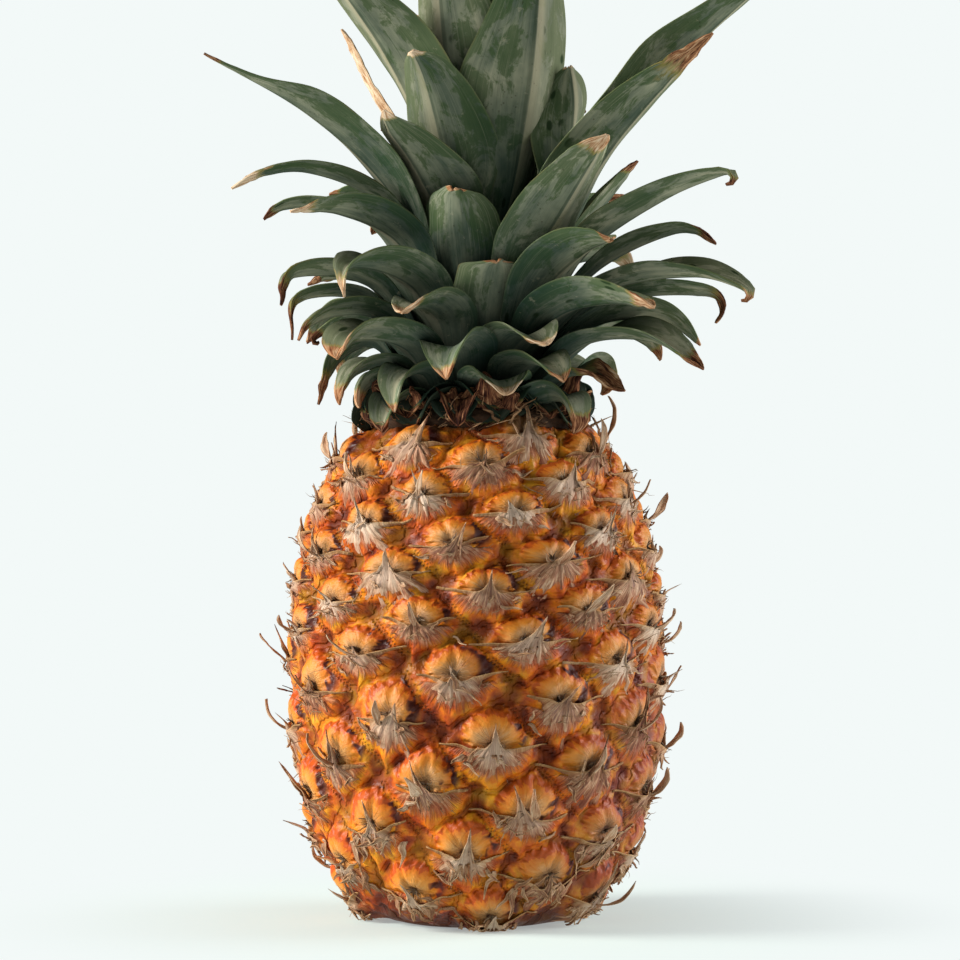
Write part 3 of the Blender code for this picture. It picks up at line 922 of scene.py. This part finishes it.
def add_fan(bm, eye):
    """The dried bract: a point that lies up the eye, two long arms beside it, and a ragged fan below."""
    between = eye.chance.uniform
    tone = between(0.05, 0.62)
    rough = between(0.0, 50.0)
    reach = between(8.0, 12.5) * eye.cover
    arms = (between(10.0, 16.0) * eye.cover, between(10.0, 16.0) * eye.cover)
    rises = (between(-0.5, 4.0), between(-1.0, 3.5))
    dip = between(0.8, 2.8)
    peak = between(1.9, 3.2)
    spread = between(1.5, 2.1)
    made, across, out = new_sheet(bm, 42, 7)
    side, sign = np.abs(across), np.sign(across)
    arm = np.where(across < 0.0, *arms)
    rise = np.where(across < 0.0, *rises) * side**2

    beyond = np.clip((side - 0.66) / 0.34, 0.0, 1.0)
    point = eye.tip_length * (1.0 - side) ** peak
    top_u = sign * arm * (0.58 * side**spread + 0.42 * beyond) + point * math.sin(eye.tip_lean)
    top_v = -2.6 + point * math.cos(eye.tip_lean) + rise - dip * np.sin(math.pi * np.minimum(side * 1.2, 1.0))
    angle = sign * np.minimum(side / 0.70, 1.0) * math.radians(76.0)
    ragged = 0.40 * crumpled(rough + 9.0, across * 3.6) + 0.40 * crumpled(rough, across * 12.0)
    length = reach * (1.0 + ragged) * (1.0 - 0.15 * np.abs(np.sin(angle)) ** 3)
    to_arm = soft_step(0.55, 0.86, side)
    low_u = mix(length * np.sin(angle), top_u, to_arm)
    low_v = mix(-3.2 - length * np.cos(angle) + rise, top_v - 1.3 * (1.0 - beyond) ** 0.8 - 0.08, to_arm)

    wander = crumpled(rough + 4.0, across * 2.2, out * 2.0)
    sway = crumpled(rough + 7.0, across * 5.0) * to_arm
    u = mix(top_u, low_u, out) + wander * 0.5
    v = mix(top_v, low_v, out) + wander * 0.9 * side + sway * 1.1
    pleats = 0.35 * np.sin(angle * 15.0 + rough) + crumpled(rough, across * 7.0, out * 1.6) * 0.9
    margin = np.clip(1.0 - out / 0.16, 0.0, 1.0) * np.clip(side * 4.0, 0.0, 1.0)
    free = np.clip((v + 2.0) / max(eye.tip_length - 1.0, 1.0), 0.0, 1.2)
    hug = 1.0 - 0.75 * soft_step(0.55, 0.95, side)
    lift = (mix(0.9, -0.7, out**1.5) + margin * 0.5 + pleats * (0.45 + 0.55 * out)) * hug
    lift = lift + 0.15 * (1.0 - hug) + eye.tip_lift * free**1.5
    looks = (across, 1.0 - out, tone + 0.25 * to_arm, margin * 0.8, np.hypot(u, v + 2.6))
    lay_sheet(bm, made, eye, u, v, lift, *looks)


def add_point(bm, eye, start, lean, reach, width, lift):
    """A papery point of a bract: a strip that narrows to a tip and curls off the skin."""
    tone = eye.chance.uniform(0.10, 0.55)
    rough = eye.chance.uniform(0.0, 50.0)
    made, across, out = new_sheet(bm, 4, 8)
    narrow = ((1.0 - out) ** 0.75 + 0.03) * (1.0 + 0.35 * crumpled(rough, out * 4.0, across * 0.6))
    narrow = narrow * mix(0.5, 1.0, np.minimum(out * 3.0, 1.0))
    cosine, sine = math.cos(lean), math.sin(lean)
    aside = across * width * narrow + crumpled(rough + 5.0, out * 1.8) * reach * 0.22
    ahead = out * reach
    u = start[0] + aside * cosine + ahead * sine
    v = start[1] + ahead * cosine - aside * sine
    curl = lift * out**1.7 + 0.5 * crumpled(rough, across * 1.5, out * 3.0)
    raised = 0.35 + curl + 0.35 * across**2 * (0.4 + out)
    edge = np.clip((np.abs(across) - 0.7) / 0.3, 0.0, 1.0) * 0.5
    lay_sheet(bm, made, eye, u, v, raised, across * 0.16, 0.5 + 0.5 * out, tone + out * 0.1, edge, 7.0 + ahead)


def add_loose_points(bm, eye):
    """The torn bits beside a bract; more of them low down, where they hang over the base."""
    between = eye.chance.uniform
    for _ in range(eye.chance.randint(2, 5)):
        start = (between(-10.5, 10.5), between(-8.0, -3.0))
        lean = eye.chance.choice((-1.0, 1.0)) * between(0.2, 2.6)
        add_point(bm, eye, start, lean, between(2.5, 7.0), between(0.4, 1.3), between(0.3, 3.2))
    for _ in range(8 if eye.index < LOW_EYES else 0):
        start = (between(-12.0, 12.0), between(-6.0, -1.0) - eye.index * 0.12)
        lean = math.pi + between(-1.2, 1.2)
        add_point(bm, eye, start, lean, between(4.0, 10.0), between(0.7, 1.9), between(0.3, 2.4))


def add_curled_tip(bm, eye):
    """A broader dried tip that stands off the skin, bends upward and twists; some eyes have one."""
    chance = random.Random(f"curled tip {eye.index}")
    between = chance.uniform
    if chance.random() > CURLED_TIP_SHARE:
        return
    reach = between(8.0, 15.0)
    half_width = between(0.8, 1.9)
    angles = ((50.0, 80.0), (-10.0, 35.0), (-40.0, 40.0), (-110.0, 110.0))
    steep, flat, foot_twist, end_twist = (math.radians(between(*limits)) for limits in angles)
    aside = between(-2.5, 2.5)
    lean = between(-0.35, 0.35)
    tone = between(0.0, 0.35)
    made, across, out = new_sheet(bm, 4, 16)
    steps = np.linspace(0.0, 1.0, 65)
    slopes = mix(steep, flat, steps) + 0.30 * crumpled(eye.seed * 40.0, steps * 3.0)
    ahead = np.interp(out, steps, np.cumsum(np.cos(slopes)) / 65.0 * reach)
    away = np.interp(out, steps, np.cumsum(np.sin(slopes)) / 65.0 * reach)
    slope = np.interp(out, steps, slopes)
    turned = mix(foot_twist, end_twist, out)
    wide = half_width * (np.sin(math.pi * np.minimum(out * 0.9 + 0.1, 1.0)) ** 0.8 + 0.06)
    wide = across * wide * (1.0 + 0.25 * crumpled(eye.seed * 30.0, out * 5.0, across))
    cupped = 0.4 * half_width * across**2 + 0.3 * crumpled(eye.seed * 20.0, across * 1.5, out * 4.0)
    upright = wide * np.sin(turned) + cupped * np.cos(turned)
    u = aside + lean * ahead + wide * np.cos(turned) - cupped * np.sin(turned)
    v = -3.0 + ahead - upright * np.sin(slope)
    raised = 0.5 + away + upright * np.cos(slope)
    looks = (across * 0.16, 0.5 + 0.5 * out, tone, np.abs(across) * 0.2, 7.0 + out * reach)
    lay_sheet(bm, made, eye, u, v, raised, *looks)


def make_bracts():
    """Three pieces of papery sheets, each laid eye by eye."""
    material = make_bract_material()
    kinds = {"dried_bracts": add_fan, "loose_bracts": add_loose_points, "curled_tips": add_curled_tip}
    for name, add_sheets in kinds.items():
        bm = bmesh.new()
        for layer in ("sheet", "dryness"):
            bm.verts.layers.float_vector.new(layer)
        for eye in EYES:
            add_sheets(bm, eye)
        thicken(finish_mesh(name, taken(bm, name), material), SHEET_THICKNESS, 1.0)


def make_strands(name, strands, thickness, husk, dark, light):
    """Thin tapered strands as one mesh. Each strand is a list of (point, share of the full thickness)."""
    curve = bpy.data.curves.new(name, "CURVE")
    curve.dimensions = "3D"
    curve.bevel_depth = thickness
    curve.bevel_resolution = 0
    curve.use_fill_caps = True
    for strand in strands:
        spline = curve.splines.new("POLY")
        spline.points.add(len(strand) - 1)
        for spot, (where, radius) in zip(spline.points, strand):
            spot.co = (*where, 1.0)
            spot.radius = radius
    rough = show(name + "_path", curve)
    bpy.context.view_layer.update()
    mesh = bpy.data.meshes.new_from_object(rough.evaluated_get(bpy.context.evaluated_depsgraph_get()))
    bpy.data.objects.remove(rough)
    mesh.materials.clear()
    finish_mesh(name, mesh, make_husk_material(husk, dark, light))


def eye_strand(eye, steps, start, lean, reach, rise):
    """A curling strand from a place on an eye: it leans across and up while it rises off the skin."""
    seed = eye.chance.random() * 50
    strand = []
    for step in range(steps + 1):
        share = step / steps
        u = start[0] + lean[0] * reach * share + 0.8 * wobble(share * 2.0, seed, 0.0)
        v = start[1] + lean[1] * reach * share + 0.8 * wobble(share * 2.0, 3.0, seed)
        turn, length = (np.array([value]) for value in eye.spot(u, v))
        off = rise * reach * share + 0.6 * wobble(share * 3.0, seed, 9.0) * share
        point = skin_points(turn, length, skin_height(turn, length) + off * MM)[0]
        point[2] = max(point[2], LOWEST)
        strand.append((point, 1.0 - 0.85 * share))
    return strand


def make_flower_scraps():
    """The shrivelled flower parts in the hole of each eye."""
    strands = []
    for eye in EYES:
        between = eye.chance.uniform
        for _ in range(eye.chance.randint(4, 7)):
            angle = between(0.0, 2.0 * math.pi)
            lean = (math.sin(angle) * 0.8, math.cos(angle) * 0.8)
            start = (lean[0] * 0.6, -0.8 + lean[1] * 0.5)
            strands.append(eye_strand(eye, 4, start, lean, between(1.2, 3.6), between(0.3, 1.0)))
    make_strands("flower_scraps", strands, 0.00042, "flower_husk", (58, 42, 32), (164, 138, 110))


def make_hairs():
    """Loose dry fibres that stand off the bracts."""
    strands = []
    for eye in EYES:
        between = eye.chance.uniform
        for _ in range(eye.chance.randint(5, 9)):
            start = (between(-9.0, 9.0), between(-9.0, -3.2))
            lean = (between(-0.9, 0.9), between(-0.6, 0.9))
            reach = between(2.0, 6.5) * eye.chance.choice((1.0, 1.0, 1.0, 1.7))
            strands.append(eye_strand(eye, 6, start, lean, reach, between(0.1, 0.7)))
    make_strands("bract_hairs", strands, 0.00020, "dry_hair", (112, 78, 52), (190, 158, 118))


# ---- crown ----


def stem_radius(up):
    return mix(STEM_FOOT_RADIUS, STEM_TIP_RADIUS, up / STEM_LENGTH)


def back_rows():
    """Rows for the leaves at the back."""
    for index, chance, between in chances("back leaf", BACK_COUNT):
        share = index / (BACK_COUNT - 1)
        turn = BACK_FROM + BACK_SPAN * ((index * BACK_TURN) % 1.0)
        seat = mix(1.5, 61.0, share)
        tip = (mix(58, 30, share**2), mix(10, 150, share**1.2))
        middle = (mix(32, 14, share), seat + mix(10, 34, share))
        knee = (mix(48, 19, share), mix(16, 118, share**1.1))
        looks = (between(0.05, 0.2), between(0.2, 0.9), chance.choice((0, -40, -90)), 0)
        yield (turn, seat, middle, knee, tip, mix(22, 24, share), 0.25, *looks)


def neck_rows():
    """Short broad dark leaves that wrap the crown's foot and lie on the fruit's shoulder, all round."""
    for index, chance, between in chances("neck", NECK_LEAVES):
        turn = index * 137.5 + between(-8.0, 8.0)
        seat = 0.4 + 0.22 * index
        out = between(33.5, 36.5)
        knee = (32.0, -1.3 + seat * 0.9 + between(-0.4, 0.6))
        tip = (out, -5.6 + seat * 0.9 + between(-0.8, 2.5))
        looks = (between(0.02, 0.22), between(0.85, 1.0), between(-20.0, 20.0), between(-25.0, 25.0))
        width = between(17.0, 22.0)
        yield (turn, seat, (27.5, 2.2 + seat * 0.8), knee, tip, width, between(0.3, 0.6), *looks)


def husk_rows():
    """Small withered leaves that stand crumpled round the crown's foot."""
    for index, chance, between in chances("husk", NECK_HUSKS):
        turn = index * 222.5 - 6.0 + between(-9.0, 9.0)
        seat = between(0.6, 3.0)
        knee = (between(33.0, 36.5), between(1.0, 6.0))
        tip = (knee[0] + between(-1.0, 3.0), knee[1] + between(3.0, 9.0))
        looks = (0.80, between(0.78, 0.95), between(-110.0, 90.0), between(-50.0, 50.0))
        yield (turn, seat, (28.5, 2.0), knee, tip, between(9.0, 15.0), between(0.3, 0.6), *looks)


def filling_rows():
    """Leaves that fill the crown at its back and in its heart, between the ones that have their own place."""
    for index, chance, between in chances("filling", FILLING_LEAVES):
        share = index / (FILLING_LEAVES - 1)
        turn = 180.0 + mix(72.0, 44.0, share) * math.sin(index * 2.4) + between(-6.0, 6.0)
        seat = mix(3.0, 56.0, share)
        middle = (mix(32.0, 15.0, share), seat + mix(12.0, 32.0, share))
        knee = (mix(50.0, 22.0, share), mix(20.0, 112.0, share**1.1))
        tip = (mix(66.0, 38.0, share**2), mix(12.0, 140.0, share**1.2) * between(0.9, 1.05))
        looks = (between(0.04, 0.18), between(0.2, 0.9), chance.choice((0.0, -30.0, -80.0)), between(-15.0, 15.0))
        yield (turn, seat, middle, knee, tip, between(20.0, 25.0), 0.25, *looks)
    for index, chance, between in chances("heart", HEART_LEAVES):
        tip = (between(12.0, 18.0), between(140.0, 158.0))
        middle = (8.0, 92.0 + 2.0 * index)
        yield (index * 55.0 + 50.0, 66.0 + 2.5 * index, middle, (11.0, 118.0), tip, 20.0, 0.2, 0.01, 0.5, 0.0, 0.0)


def midline(points, along):
    """A smooth curve through a foot, a middle, a knee and a tip, at 0 to 1 of its way."""
    lengths = [math.sqrt((far - near).length) for near, far in zip(points, points[1:])]
    place = along * sum(lengths)
    span = 0
    while span < 2 and place > lengths[span]:
        place -= lengths[span]
        span += 1
    points = [points[0] * 2.0 - points[1], *points, points[3] * 2.0 - points[2]]
    before, start, end, after = points[span : span + 4]
    length_before, length, length_after = [lengths[0], *lengths, lengths[2]][span : span + 3]
    slope_start = (end - before) / (length + length_before) * length
    slope_end = (after - start) / (length + length_after) * length
    share = place / length
    square, cube = share**2, share**3
    bend = slope_start * (cube - 2.0 * square + share) + slope_end * (cube - square)
    return start * (2.0 * cube - 3.0 * square + 1.0) + end * (3.0 * square - 2.0 * cube) + bend


def leaf_half_width(width, end, along):
    swell = mix(LEAF_FOOT_WIDTH, 1.0, smooth(0.0, LEAF_WIDEST_AT, along))
    taper = mix(1.0, end, smooth(LEAF_TAPER_FROM, 1.0, along) * along)
    return max(width * MM * swell * taper, LEAF_TIP_WIDTH) / 2.0


def turned(first, second, angle):
    """Two sides of a square corner, turned by an angle."""
    cosine, sine = math.cos(angle), math.sin(angle)
    return first * cosine - second * sine, first * sine + second * cosine


def leaf_spine(route, curl):
    """The sections of a leaf as (point, direction, length so far), with its tip curled by some degrees."""
    points = [midline(route, section / BLADE_SECTIONS) for section in range(BLADE_SECTIONS + 1)]
    points.append(points[-1] * 2.0 - points[-2])
    curl_from = 0.91 if abs(curl) > 100 else 0.80
    place, run = points[0], 0.0
    spine = []
    for section, (near, far) in enumerate(zip(points, points[1:])):
        angle = math.radians(curl) * smooth(curl_from, 1.0, section / BLADE_SECTIONS)
        step = Vector(turned(*(far - near), angle))
        spine.append((place, step.normalized(), run))
        place = place + step
        run += step.length
    return spine


def add_leaf(bm, row, seed, lit):
    """A leaf: a fine grid laid along its midline, folded to a keel, rippled at its edges, worn at its tip."""
    turn, seat, middle, knee, tip, width, end, dry, tone, curl, twist = row
    blade_layer, age_layer, lie_layer = (bm.verts.layers.float_vector[name] for name in LEAF_LAYERS)
    foot_out = stem_radius(seat * MM) + TOUCH_GAP + LEAF_THICKNESS / 2.0
    route = [Vector((foot_out, seat * MM))] + [Vector((out * MM, up * MM)) for out, up in (middle, knee, tip)]
    spine = leaf_spine(route, curl)
    turn = math.radians(turn)
    outward = Vector((math.sin(turn), -math.cos(turn), 0.0))
    sideways = Vector((math.cos(turn), math.sin(turn), 0.0))
    upward = Vector((0.0, 0.0, 1.0))
    blunt = end >= 0.55
    outer = -1.0 if math.sin(turn) < 0.0 else 1.0
    close_from = 0.85 if end < 0.55 else 0.70 if end < 0.85 else 0.78
    sideways_on = min(max(abs(math.sin(turn)) * 2.5 - 0.62, 0.0), 1.0)
    high = seat / CROWN_SPAN

    made = bmesh.ops.create_grid(bm, x_segments=BLADE_ACROSS, y_segments=BLADE_SECTIONS, size=1.0)["verts"]
    for vert in made:
        across = vert.co.x
        section = round((vert.co.y + 1.0) / 2.0 * BLADE_SECTIONS)
        share = section / BLADE_SECTIONS
        place, slope, run = spine[section]
        side = math.copysign(1.0, across)
        worn = smooth(1.0 - dry * 1.6 - 0.05, 1.0, share)

        half = leaf_half_width(width, end, share) * mix(1.34, 1.18, high)
        half *= mix(mix(1.35, 0.62, high), 1.0, smooth(0.0, 0.5, share))
        half *= mix(1.0, 0.55, smooth(0.70, 0.88, share)) if end <= 0.12 else 1.0
        half *= 1.0 + 0.04 * wobble(run * 22.0, side * 2.0, seed * 50.0)
        ragged = max(wobble(run * 180.0, side * 4.0, seed * 90.0), 0.0)
        half *= 1.0 - 0.30 * worn * ragged - 0.22 * worn * min(dry * 3.0, 1.0)
        if share > close_from:
            closing = (share - close_from) / (1.0 - close_from)
            half *= max(1.0 - closing**2, 0.02) ** (0.5 if blunt else 0.62)

        clasping = 1.0 - smooth(LEAF_CLASP_UNTIL, LEAF_FREE_FROM, share)
        channel = mix(LEAF_CHANNEL * width * MM, max(place.x, foot_out), clasping)
        channel /= 1.0 + 1.4 * worn * min(dry * 4.0, 1.0)
        channel = max(channel, half / 2.1)
        bend = across * half / channel
        fold = mix(mix(0.35, 0.92, sideways_on), 0.15, clasping)
        inward = mix(channel * (1.0 - math.cos(bend)), 0.56 * half * abs(across) ** 1.1, fold)
        wave = wobble(run * 36.0, side * 3.0, seed * 70.0)
        inward += wave * across**2 * half * 0.20 * smooth(0.2, 0.6, share)
        aside = mix(channel * math.sin(bend), 0.88 * across * half, fold)
        angle = math.radians(twist) * smooth(0.3, 1.0, share) + 0.20 * wobble(run * 12.0, 0.0, seed * 30.0)
        aside, inward = turned(aside, inward, angle)
        inward += worn * wobble(run * 300.0, across * 2.0, seed * 20.0) * min(half * 0.35, 0.0011)

        vert.co = outward * place.x + upward * (CROWN_Z + place.y)
        vert.co += sideways * aside + (outward * -slope.y + upward * slope.x) * inward
        if blunt and share > 0.8:
            notch = 0.5 + wobble(across * 2.3, 1.0, seed * 11.0)
            vert.co -= (outward * slope.x + upward * slope.y) * notch * 0.0012 * smooth(0.9, 1.0, share)
        dryness = max((share - (1.0 - dry)) / max(dry, 0.02), -1.5)
        vert[blade_layer] = (across * outer, run / MM, seed)
        # painted shade: the third number falls lower, into the dark foot colour, for leaves low in the crown and
        # for a lit below 1
        vert[age_layer] = (dryness, tone, share * lit + 0.30 * high - 0.12)
        vert[lie_layer] = (sideways_on, 0.0, 0.0)


LEAF_LAYERS = ("blade", "age", "lie")


def make_leaves(name, rows, material, replaced=None, lit=1.0):
    """One piece of one or more leaves. Below 1, lit spreads their painted shade along their whole length."""
    bm = bmesh.new()
    for layer in LEAF_LAYERS:
        bm.verts.layers.float_vector.new(layer)
    for number, row in enumerate(rows):
        add_leaf(bm, row, random.Random(f"{name} {number}").random(), lit)
    bm.edges.index_update()
    margins = [edge.index for edge in bm.edges if edge.is_boundary]
    mesh = taken(bm, name)
    piece = finish_mesh(name, mesh, material, replaced)
    for index in margins:
        mesh.edges[index].use_edge_sharp = True
    across = np.zeros(len(mesh.vertices) * 3)
    mesh.attributes["blade"].data.foreach_get("vector", across)
    at_edge = np.abs(across[::3]) > 0.99
    body = piece.vertex_groups.new(name="body")
    body.add(np.nonzero(~at_edge)[0].tolist(), 1.0, "REPLACE")
    body.add(np.nonzero(at_edge)[0].tolist(), LEAF_EDGE_SHARE, "REPLACE")
    thicken(piece, LEAF_THICKNESS, 0.0).vertex_group = "body"


def make_neck_scraps():
    """Dry brown spikes and threads round the crown's foot, where the topmost bracts have withered."""
    strands = []
    for index, chance, between in chances("scrap", NECK_SCRAPS):
        stout = 2.0 if index % 12 == 0 else between(0.3, 0.9)
        turn = between(0.0, 2.0 * math.pi)
        out = between(27.0, 38.5)
        up = 0.8 - 0.19 * max(out - 31.0, 0.0) ** 1.7
        lean = between(-1.1, 1.1)
        reach = between(2.5, 6.5) + 1.6 * stout
        outward = between(0.1, 1.0)
        strand = []
        for share in (step / 6.0 for step in range(7)):
            wander = 3.2 * wobble(share * 2.8, index * 1.7, 0.0)
            swing = turn + (lean * share * reach + wander) / 30.0
            away = (out + outward * reach * share + wander) * MM
            rise = 0.6 + reach * (1.0 - 0.6 * outward) * share - 0.12 * reach * outward * share**2
            high = CROWN_Z + (up + rise + wander * 0.5) * MM
            place = Vector((math.cos(swing) * away, math.sin(swing) * away, high))
            strand.append((place, stout * (1.0 - 0.92 * share)))
        strands.append(strand)
    make_strands("neck_scraps", strands, 0.00030, "neck_scrap", (46, 26, 18), (176, 138, 100))


def make_crown_foot():
    """The dark matted fibre between the crown's foot and the fruit's shoulder."""
    bm = bmesh.new()
    bmesh.ops.create_uvsphere(bm, u_segments=96, v_segments=32, radius=1.0)
    for vert in bm.verts:
        rough = 1.0 + 0.05 * noise.noise(vert.co * 9.0) + 0.03 * noise.noise(vert.co * 26.0)
        vert.co.x *= FOOT_RADIUS * rough
        vert.co.y *= FOOT_RADIUS * rough
        vert.co.z = CROWN_Z - 0.001 + vert.co.z * FOOT_RISE * rough
    matted = make_husk_material("matted_fibre", (20, 18, 14), (84, 60, 42))
    finish_mesh("crown_foot", taken(bm, "crown_foot"), matted)


def make_crown():
    make_crown_foot()
    material = make_leaf_material()
    # painted shade: the neck leaves stay dark along their whole length, the husks a little less
    make_leaves("neck_leaves", neck_rows(), material, lit=0.30)
    make_leaves("neck_husks", husk_rows(), material, lit=0.80)
    make_leaves("filling_leaves", filling_rows(), material)
    rows = sorted([*FRONT_LEAVES, *back_rows()], key=lambda row: row[1])
    for number, row in enumerate(rows, 1):
        make_leaves(f"blade_{number:02d}", [row], material, f"leaf_{number:02d}")
    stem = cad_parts["crown_stem"]
    stem.data.materials.clear()
    stem.data.materials.append(make_stem_material())


# ---- floor, light and camera ----


def aim(thing, place, target):
    thing.location = place
    thing.rotation_euler = (Vector(target) - Vector(place)).to_track_quat("-Z", "Y").to_euler()


def make_lamp(name, place, size, power, colour):
    lamp = bpy.data.lights.new(name, "AREA")
    lamp.shape = "SQUARE"
    lamp.size = size
    lamp.energy = power
    lamp.color = colour
    aim(show(name, lamp), place, LAMP_TARGET)


def make_studio():
    bm = bmesh.new()
    bmesh.ops.create_circle(bm, cap_ends=True, segments=64, radius=FLOOR_RADIUS)
    mesh = taken(bm, "floor")
    mesh.materials.append(make_floor_material())
    floor = show("floor", mesh)

    make_lamp("key", (-1.49, -0.22, 0.70), 0.6, 43.0, (1.0, 0.97, 0.93))
    make_lamp("side_fill", (1.25, 0.16, 0.50), 0.9, 18.5, (0.97, 0.98, 1.0))

    # the camera sees the backdrop, and everything else is lit by a soft cool sky
    world = bpy.data.worlds.new("studio")
    bpy.context.scene.world = world
    world.use_nodes = True
    net = Net(world.node_tree)
    sky = world.node_tree.nodes["Background"]
    sky.inputs["Color"].default_value = (0.93, 0.98, 1.0, 1.0)
    sky.inputs["Strength"].default_value = 0.13
    seen = net.add("LightPath").outputs["Is Camera Ray"]
    net.mix_shaders(seen, sky, net.add("Background", {"Color": BACKDROP}), "World Output")

    lens = bpy.data.cameras.new("camera")
    lens.sensor_width = 36.0
    lens.lens = CAMERA_LENS
    lens.clip_start = 0.01
    camera = show("camera", lens)
    aim(camera, CAMERA_PLACE, CAMERA_TARGET)
    bpy.context.scene.camera = camera
    bpy.context.scene.view_settings.view_transform = "Standard"


make_studio()
make_rind()
make_bracts()
make_flower_scraps()
make_hairs()
make_crown()
make_neck_scraps()
